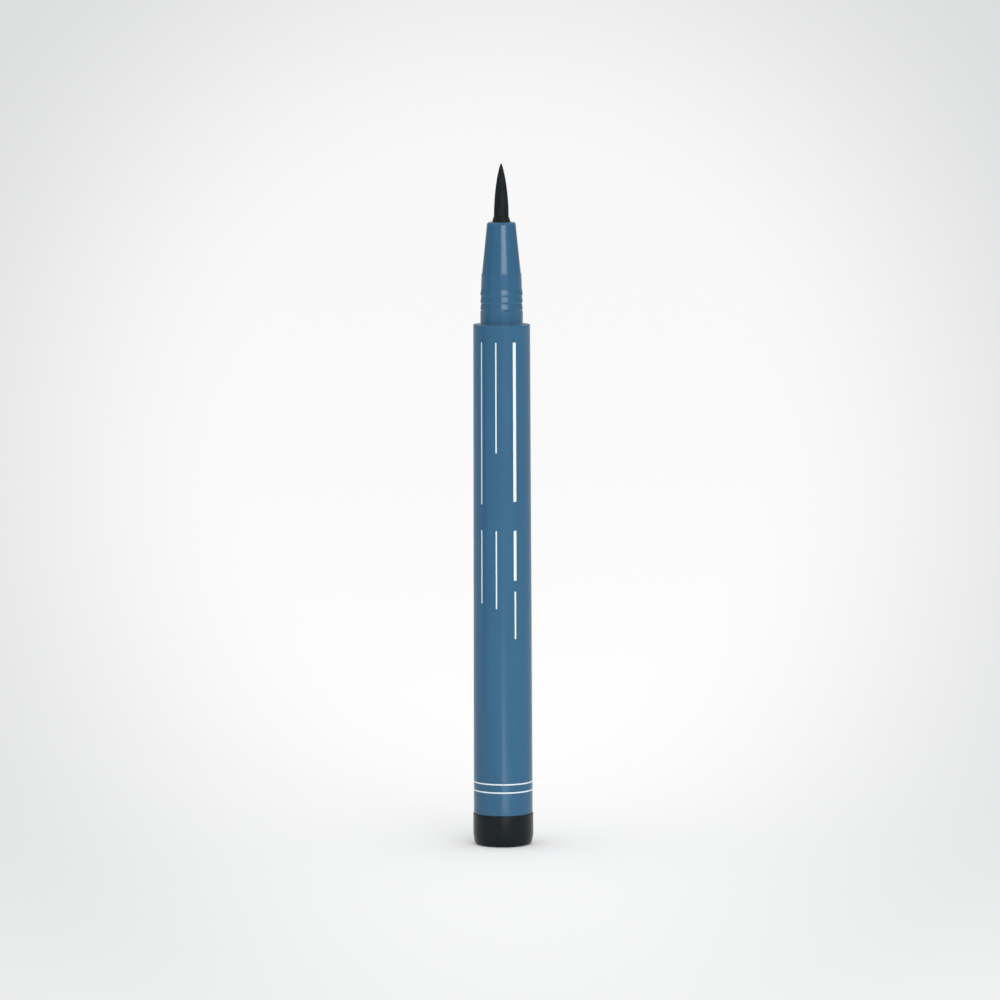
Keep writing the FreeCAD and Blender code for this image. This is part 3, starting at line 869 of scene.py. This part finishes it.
class EYELINER_OT_tip_holder(bpy.types.Operator):
    """Turn the holder's sleeve with its lip, and sink the air flutes into it

    A flute is as deep as half an ellipse of the distance round the sleeve from its middle.
    """

    bl_idname = "eyeliner.tip_holder"
    bl_label = "Tip Holder"

    def execute(self, context):
        pen = context.scene.eyeliner_pen
        tip, radii = pen.tip, shared_radii(pen)
        section = supported(rounded((
            (radii.holder_bore, HOLDER_SEAT, FINE_EDGE),
            (HOLDER_RADIUS, HOLDER_SEAT, FINE_EDGE),
            (HOLDER_RADIUS, MOUTH, FINE_EDGE),
            (HOLDER_RADIUS - tip.lip_step, MOUTH, FINE_EDGE),
            (radii.holder_bore + tip.lip_edge, LIP_TOP, FINE_EDGE),
            (radii.holder_bore, LIP_TOP, FINE_EDGE / 2),
        )), True)
        pitch = FULL_TURN / tip.flutes
        angle = np.arange(SEGMENTS) / SEGMENTS * FULL_TURN
        aside = ((angle + pitch / 2) % pitch - pitch / 2) * HOLDER_RADIUS
        depth = tip.flute_depth * np.sqrt(np.clip(1 - (2 * aside / tip.flute_width) ** 2, 0, 1))
        outside = (section[:, 0] > HOLDER_RADIUS - FINE_EDGE) & (section[:, 1] < MOUTH)
        mesh = turned_mesh("tip_sleeve", section, relief=-depth[:, None] * outside)
        plug = pen.tail_plug
        material = moulded_plastic("black_sleeve_plastic", plug.colour, tip.sleeve_roughness, plug.shine)
        add_piece(mesh, "tip_holder", material)
        return {"FINISHED"}


class EYELINER_OT_felt_tip(bpy.types.Operator):
    """Turn the felt tip and raise its fibres

    Above the lip the radius is the tip's radius times (1 - t to the power of the draw) to the power of the
    fullness, where t goes from 0 at the lip to 1 at the apex. The fibres are three waves round the tip that
    wander with height.
    """

    bl_idname = "eyeliner.felt_tip"
    bl_label = "Felt Tip"

    def execute(self, context):
        tip = context.scene.eyeliner_pen.tip
        socket_end = TIP_REAR + tip.socket_depth
        shank = rounded((
            (0.0, socket_end, 0.0),
            (tip.socket_radius, socket_end, FINE_EDGE),
            (tip.socket_radius, TIP_REAR, FINE_EDGE),
            (TIP_RADIUS, TIP_REAR, 2 * FINE_EDGE),
            (TIP_RADIUS, LIP_TOP, 0.0),
        ))
        share = np.sin(np.linspace(0, math.pi / 2, POINT_STEPS))[1:]
        point = np.stack((
            TIP_RADIUS * np.clip(1 - share ** tip.point_draw, 0, 1) ** tip.point_power,
            LIP_TOP + (APEX - LIP_TOP) * share,
        ), axis=1)
        section = supported(np.concatenate((shank, point)), False)
        angle = (np.arange(TIP_SEGMENTS) / TIP_SEGMENTS * FULL_TURN)[:, None]
        height = section[:, 1] / MM
        waves = sum(
            weight * np.sin(count * angle + wander * np.sin(pace * height + start))
            for count, weight, wander, pace, start in FIBRE_WAVES
        )
        free = np.clip((section[:, 1] - LIP_TOP) / MM, 0, 1) * (section[:, 0] / TIP_RADIUS)
        mesh = turned_mesh("felt_point", section, TIP_SEGMENTS, False, tip.fibre_rise * waves * free)
        add_piece(mesh, "felt_tip", inked_felt(tip.colour))
        return {"FINISHED"}


class EYELINER_OT_inner_parts(bpy.types.Operator):
    """Finish the pieces inside, which keep the frame's own shapes"""

    bl_idname = "eyeliner.inner_parts"
    bl_label = "Inner Parts"

    def execute(self, context):
        inner = context.scene.eyeliner_pen.inner
        steel = ball_steel(inner.steel)
        finishes = {
            "collector": natural_plastic(inner.collector),
            "feed_wick": wick_fibre(inner.wick),
            "mixing_ball_1": steel,
            "mixing_ball_2": steel,
        }
        for node, material in finishes.items():
            frame["nodes"][node].data.materials.clear()
            frame["nodes"][node].data.materials.append(material)
        return {"FINISHED"}


def floor_finish(stage):
    """Pale floor with a painted pool of light: painted shade falls off in its colour, in rings that look round
    from the camera.
    """
    finish = Finish("studio_floor")
    rise, level = math.sin(stage.elevation), math.cos(stage.elevation)
    half_view = HALF_SENSOR / stage.lens
    axes = finish.add("SeparateXYZ", {"Vector": finish.place}).outputs
    depth = finish.maths("MULTIPLY_ADD", axes["Y"], level, stage.distance + stage.aim[2] * rise)
    up = finish.maths("MULTIPLY_ADD", axes["Y"], rise, -stage.aim[2] * level)
    half = finish.maths("MULTIPLY", depth, half_view)
    across = finish.maths("DIVIDE", axes["X"], half)
    away = finish.maths("SUBTRACT", finish.maths("DIVIDE", up, half), stage.rings_rise)
    ring = finish.maths("SQRT", finish.maths(
        "MULTIPLY_ADD", across, across, finish.maths("MULTIPLY", away, away)
    ))
    # Painted shade: the floor's colour falls from the pale middle to the greyer rim across the rings.
    inputs = {"Value": ring, "From Min": stage.rings_start, "From Max": stage.rings_end}
    fall = finish.add("MapRange", inputs, interpolation_type="SMOOTHSTEP").outputs["Result"]
    finish.set(
        Base_Color=finish.mix(fall, shade(stage.floor_painted_pool, 1.0), shade(stage.floor_painted_shade, 1.0)),
        Roughness=MATT,
        Specular_IOR_Level=0.0,
    )
    return finish.material


def add_floor(stage):
    """Round floor under the pen: rings whose radius grows with their number squared, and an underside."""
    rings = (np.arange(1, FLOOR_RINGS + 1) / FLOOR_RINGS) ** 2 * stage.floor_radius
    radii = np.concatenate(([0.0], rings[::-1], [0.0]))
    heights = np.full(len(radii), -stage.floor_drop)
    heights[0] *= 2
    mesh = turned_mesh("studio_floor", np.stack((radii, heights), axis=1), closed=False)
    floor = bpy.data.objects.new("studio_floor", mesh)
    bpy.context.scene.collection.objects.link(floor)
    mesh.materials.append(floor_finish(stage))


def studio_dome(stage):
    """Surroundings whose light grows evenly from the horizon to overhead."""
    dome = Finish("studio_dome", bpy.data.worlds, "Background", "Generated")
    height = dome.add("SeparateXYZ", {"Vector": dome.place}).outputs["Z"]
    light = dome.mix(dome.share(height, 0.0, 1.0), shade(stage.horizon, 1.0), shade(stage.zenith, 1.0))
    dome.set(Color=light, Strength=stage.dome)
    return dome.material


def add_softbox(name, place, direction, size, watts):
    """Rectangular lamp at a place that shines in a direction and doesn't show itself."""
    lamp = bpy.data.lights.new(name, "AREA")
    lamp.shape = "RECTANGLE"
    lamp.size, lamp.size_y = size
    lamp.energy = watts
    box = bpy.data.objects.new(name, lamp)
    box.matrix_world = Matrix.Translation(place) @ direction.to_track_quat("-Z", "Y").to_matrix().to_4x4()
    box.visible_camera = False
    bpy.context.scene.collection.objects.link(box)


def add_card(stage):
    """Upright dark card, turned to the pen's axis, that shows in reflections only."""
    foot = stage.card_place
    width, height = stage.card_size
    aside = Vector((-foot.y, foot.x, 0.0)).normalized() * width / 2
    up = Vector((0.0, 0.0, height))
    mesh = bpy.data.meshes.new("dark_card")
    mesh.from_pydata([foot - aside, foot + aside, foot + aside + up, foot - aside + up], [], [(0, 1, 2, 3)])
    finish = Finish("dark_card")
    finish.set(Base_Color=shade(stage.card, 1.0), Roughness=MATT, Specular_IOR_Level=0.0)
    mesh.materials.append(finish.material)
    card = bpy.data.objects.new("dark_card", mesh)
    card.visible_camera = False
    card.visible_diffuse = False
    card.visible_shadow = False
    bpy.context.scene.collection.objects.link(card)


class EYELINER_OT_stage(bpy.types.Operator):
    """Set up the pale floor, the soft lamps, the dark card, the surroundings and the camera"""

    bl_idname = "eyeliner.stage"
    bl_label = "Studio"

    def execute(self, context):
        scene = context.scene
        stage = scene.eyeliner_pen.stage
        add_floor(stage)
        aim = stage.aim
        mouth, up = Vector((0.0, 0.0, MOUTH)), Vector((0.0, 0.0, 1.0))
        add_softbox("key", stage.key_place, aim - stage.key_place, stage.key_size, stage.key)
        add_softbox("front", stage.front_place, mouth - stage.front_place, stage.front_size, stage.front)
        add_softbox("low", stage.low_place, up, stage.low_size, stage.low)
        add_card(stage)
        scene.world = studio_dome(stage)
        lens = bpy.data.cameras.new("camera")
        lens.lens = stage.lens
        camera = bpy.data.objects.new("camera", lens)
        back = Vector((0.0, -math.cos(stage.elevation), math.sin(stage.elevation)))
        camera.matrix_world = (
            Matrix.Translation(aim + back * stage.distance)
            @ Matrix.Rotation(math.pi / 2 - stage.elevation, 4, "X")
            @ Matrix.Rotation(stage.roll, 4, "Z")
        )
        scene.collection.objects.link(camera)
        scene.camera = camera
        scene.view_settings.view_transform = "Standard"
        return {"FINISHED"}


class EYELINER_PT_pen(bpy.types.Panel):
    """Settings and steps of the eyeliner pen"""

    bl_idname = "EYELINER_PT_pen"
    bl_label = "Eyeliner Pen"
    bl_space_type = "VIEW_3D"
    bl_region_type = "UI"
    bl_category = "Eyeliner Pen"

    def draw(self, context):
        pen = context.scene.eyeliner_pen
        for operator in STEPS:
            self.layout.operator(operator.bl_idname)
        for name in PenSettings.__annotations__:
            box = self.layout.box()
            group = getattr(pen, name)
            box.label(text=name.replace("_", " ").capitalize())
            for key in group.__annotations__:
                box.prop(group, key)


STEPS = (
    EYELINER_OT_tail_plug,
    EYELINER_OT_barrel,
    EYELINER_OT_nose,
    EYELINER_OT_tip_holder,
    EYELINER_OT_felt_tip,
    EYELINER_OT_inner_parts,
    EYELINER_OT_stage,
)
CLASSES = (
    BarrelSettings,
    TailPlugSettings,
    NoseSettings,
    TipSettings,
    InnerSettings,
    StageSettings,
    PenSettings,
    *STEPS,
    EYELINER_PT_pen,
)


def register():
    """Add the classes and the scene's settings."""
    for kind in CLASSES:
        bpy.utils.register_class(kind)
    bpy.types.Scene.eyeliner_pen = PointerProperty(type=PenSettings)


def unregister():
    """Take the settings and the classes away again."""
    del bpy.types.Scene.eyeliner_pen
    for kind in reversed(CLASSES):
        bpy.utils.unregister_class(kind)


def main():
    """Build the pen and its studio."""
    register()
    bpy.ops.eyeliner.tail_plug()
    bpy.ops.eyeliner.barrel()
    bpy.ops.eyeliner.nose()
    bpy.ops.eyeliner.tip_holder()
    bpy.ops.eyeliner.felt_tip()
    bpy.ops.eyeliner.inner_parts()
    bpy.ops.eyeliner.stage()


if __name__ == "__main__":
    main()
